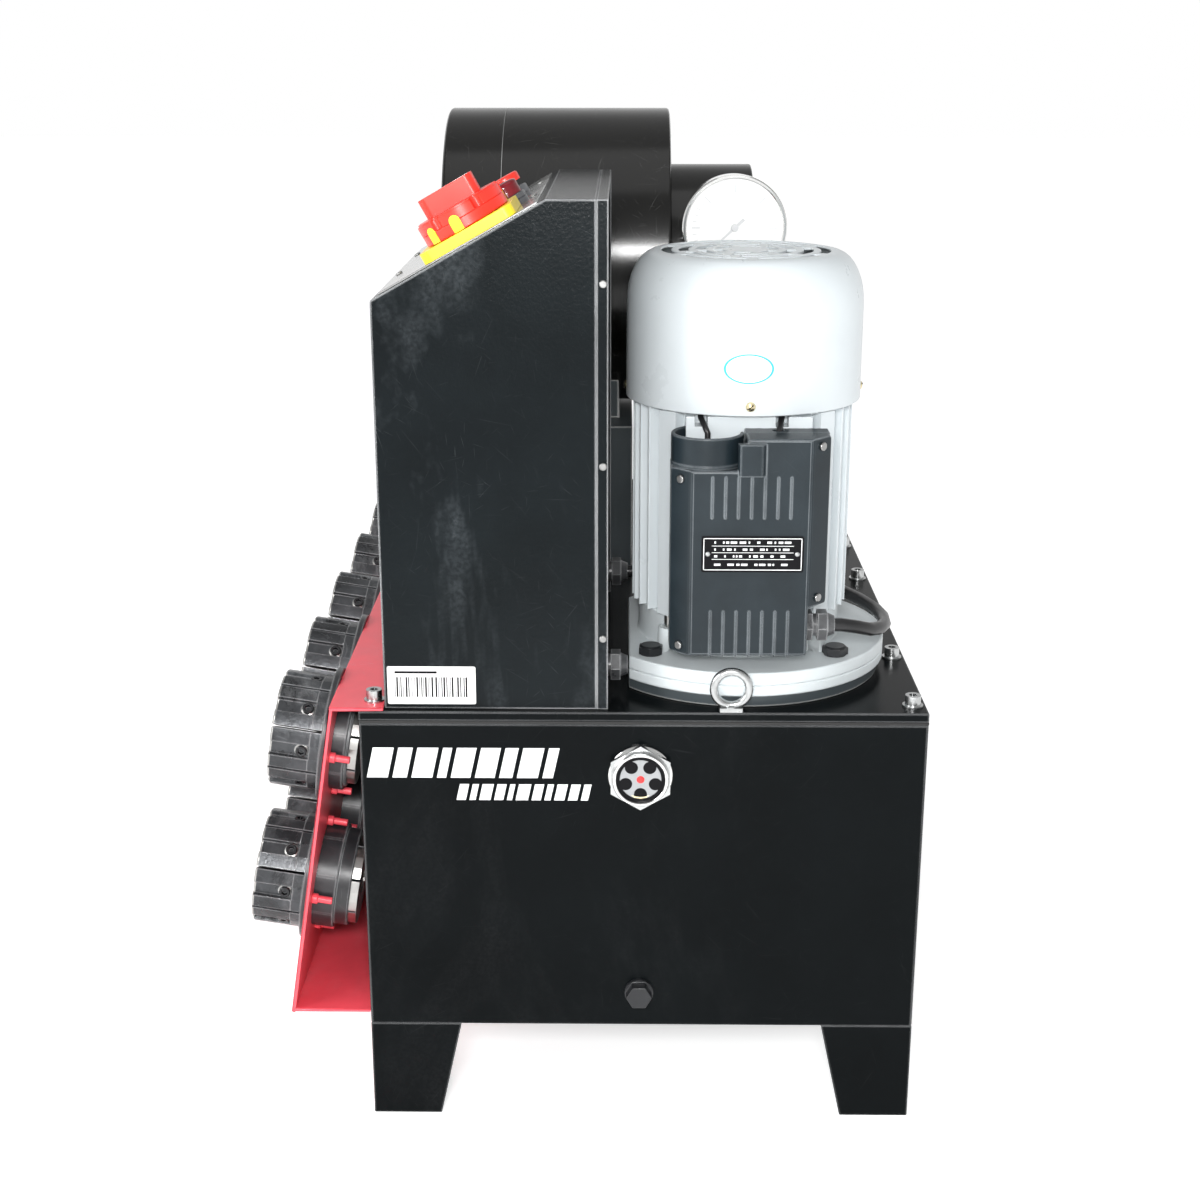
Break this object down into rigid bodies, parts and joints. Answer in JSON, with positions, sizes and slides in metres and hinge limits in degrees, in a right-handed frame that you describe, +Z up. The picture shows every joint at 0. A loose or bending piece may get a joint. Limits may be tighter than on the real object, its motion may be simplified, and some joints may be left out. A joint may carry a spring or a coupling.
{
  "type": "hydraulic hose crimping machine with power unit",
  "caption": "Bench hose-crimping machine: oil tank on legs, vertical motor-pump unit, control cabinet, cylindrical crimping head with radial dies, and a die rack.",
  "frame": {"origin": "on the floor, under the middle of the bounding box", "axes": "+X towards the motor side (the operator's right), -Y towards the operator and the head's mouth, +Z up"},
  "size_m": [0.772, 0.5651, 0.8185],
  "materials": {
    "black_paint": "gloss black enamel with light dust and fine scratches",
    "head_paint": "semi-gloss black enamel over turned steel",
    "stand_paint": "satin black enamel",
    "motor_paint": "light blue-grey enamel",
    "red_paint": "crimson powder coat",
    "zinc_steel": "zinc-plated",
    "chrome_trim": "bright chrome",
    "bare_steel": "machined and oiled",
    "black_steel": "black oxide",
    "pump_iron": "cast, unpainted",
    "coupling_aluminium": "turned",
    "winding_copper": "varnished winding",
    "capacitor_can": "drawn can",
    "black_plastic": "moulded, fine texture",
    "gland_plastic": "moulded nylon",
    "bezel_plastic": "moulded",
    "yellow_plastic": "moulded",
    "red_plastic": "moulded",
    "green_plastic": "moulded",
    "lamp_lens": "clear dark red",
    "panel_steel": "brushed overlay plate",
    "die_black": "phosphated segments with bare ends",
    "gasket_rubber": "nitrile sheet",
    "cable_rubber": "black sheath",
    "hose_rubber": "black hose"
  },
  "bodies": {
    "machine": {"tank_shell": "black_paint", "tank_lid": "black_paint", "lid_gasket": "gasket_rubber", "tank_legs": "black_paint", "m8_screws": "zinc_steel", "lifting_eye": "zinc_steel", "sight_glass": "chrome_trim", "drain_plug": "black_steel", "breather_cap": "black_plastic", "suction_strainer": "bare_steel", "pump_body": "pump_iron", "mounting_ring": "black_paint", "bellhousing": "motor_paint", "motor_flange": "motor_paint", "stator_housing": "motor_paint", "stator_core": "winding_copper", "motor_bearings": "bare_steel", "fan_cowl": "motor_paint", "motor_bolts": "black_steel", "capacitor_box": "black_plastic", "capacitor_cover": "black_plastic", "capacitors": "capacitor_can", "motor_wiring": "cable_rubber", "cabinet_shell": "black_paint", "control_panel": "panel_steel", "rear_cover": "black_paint", "cover_screws": "zinc_steel", "cable_glands": "gland_plastic", "contactor": "black_plastic", "isolator_base": "yellow_plastic", "button_bezels": "bezel_plastic", "pilot_lamp": "lamp_lens", "head_shell": "head_paint", "head_front_ring": "head_paint", "head_tail": "head_paint", "head_support": "stand_paint", "pressure_gauge": "chrome_trim", "pressure_hose": "hose_rubber", "die_rack": "red_paint", "rack_pins": "red_paint", "die_sets_upper": "die_black", "die_sets_lower": "die_black"},
    "rotor": {"motor_rotor": "bare_steel", "cooling_fan": "black_plastic", "shaft_coupling": "coupling_aluminium", "drive_gear": "bare_steel"},
    "driven_gear": {"driven_gear": "bare_steel"},
    "isolator_handle": {"isolator_handle": "red_plastic"},
    "stop_button": {"stop_button": "red_plastic"},
    "close_button": {"close_button": "green_plastic"},
    "open_button": {"open_button": "red_plastic"},
    "piston": {"head_piston": "bare_steel"},
    "die_1": {"die_1": "bare_steel"},
    "die_2": {"die_2": "bare_steel"},
    "die_3": {"die_3": "bare_steel"},
    "die_4": {"die_4": "bare_steel"},
    "die_5": {"die_5": "bare_steel"},
    "die_6": {"die_6": "bare_steel"},
    "die_7": {"die_7": "bare_steel"},
    "die_8": {"die_8": "bare_steel"}
  },
  "joints": [
    {"name": "rotor_spin", "type": "hinge", "parent": "machine", "child": "rotor", "pos_m": [0.239, 0.13605, 0.46], "axis": [0, 0, 1], "continuous": true},
    {"name": "driven_gear_spin", "type": "hinge", "parent": "machine", "child": "driven_gear", "pos_m": [0.197, 0.13605, 0.165], "axis": [0, 0, 1], "continuous": true},
    {"name": "isolator_turn", "type": "hinge", "parent": "machine", "child": "isolator_handle", "pos_m": [0.317, -0.08812, 0.75665], "axis": [0, 0.4912, -0.8711], "range_deg": [0, 90]},
    {"name": "stop_press", "type": "slide", "parent": "machine", "child": "stop_button", "axis": [0, 0.4912, -0.8711], "range_m": [0, 0.005], "stiffness_N_per_m": 800, "springref_m": -0.004},
    {"name": "close_press", "type": "slide", "parent": "machine", "child": "close_button", "axis": [0, 0.4912, -0.8711], "range_m": [0, 0.003], "stiffness_N_per_m": 600, "springref_m": -0.004},
    {"name": "open_press", "type": "slide", "parent": "machine", "child": "open_button", "axis": [0, 0.4912, -0.8711], "range_m": [0, 0.003], "stiffness_N_per_m": 600, "springref_m": -0.004},
    {"name": "piston_slide", "type": "slide", "parent": "machine", "child": "piston", "axis": [0, -1, 0], "range_m": [0, 0.042]},
    {"name": "die_1_slide", "type": "slide", "parent": "machine", "child": "die_1", "axis": [-1, 0, 0], "range_m": [0, 0.0153]},
    {"name": "die_2_slide", "type": "slide", "parent": "machine", "child": "die_2", "axis": [-0.7071, 0, -0.7071], "range_m": [0, 0.0153]},
    {"name": "die_3_slide", "type": "slide", "parent": "machine", "child": "die_3", "axis": [0, 0, -1], "range_m": [0, 0.0153]},
    {"name": "die_4_slide", "type": "slide", "parent": "machine", "child": "die_4", "axis": [0.7071, 0, -0.7071], "range_m": [0, 0.0153]},
    {"name": "die_5_slide", "type": "slide", "parent": "machine", "child": "die_5", "axis": [1, 0, 0], "range_m": [0, 0.0153]},
    {"name": "die_6_slide", "type": "slide", "parent": "machine", "child": "die_6", "axis": [0.7071, 0, 0.7071], "range_m": [0, 0.0153]},
    {"name": "die_7_slide", "type": "slide", "parent": "machine", "child": "die_7", "axis": [0, 0, 1], "range_m": [0, 0.0153]},
    {"name": "die_8_slide", "type": "slide", "parent": "machine", "child": "die_8", "axis": [-0.7071, 0, 0.7071], "range_m": [0, 0.0153]}
  ],
  "couplings": [
    {"joint": "driven_gear_spin", "follows": "rotor_spin", "ratio": -1},
    {"joint": "die_1_slide", "follows": "piston_slide", "ratio": 0.36397},
    {"joint": "die_2_slide", "follows": "piston_slide", "ratio": 0.36397},
    {"joint": "die_3_slide", "follows": "piston_slide", "ratio": 0.36397},
    {"joint": "die_4_slide", "follows": "piston_slide", "ratio": 0.36397},
    {"joint": "die_5_slide", "follows": "piston_slide", "ratio": 0.36397},
    {"joint": "die_6_slide", "follows": "piston_slide", "ratio": 0.36397},
    {"joint": "die_7_slide", "follows": "piston_slide", "ratio": 0.36397},
    {"joint": "die_8_slide", "follows": "piston_slide", "ratio": 0.36397}
  ]
}
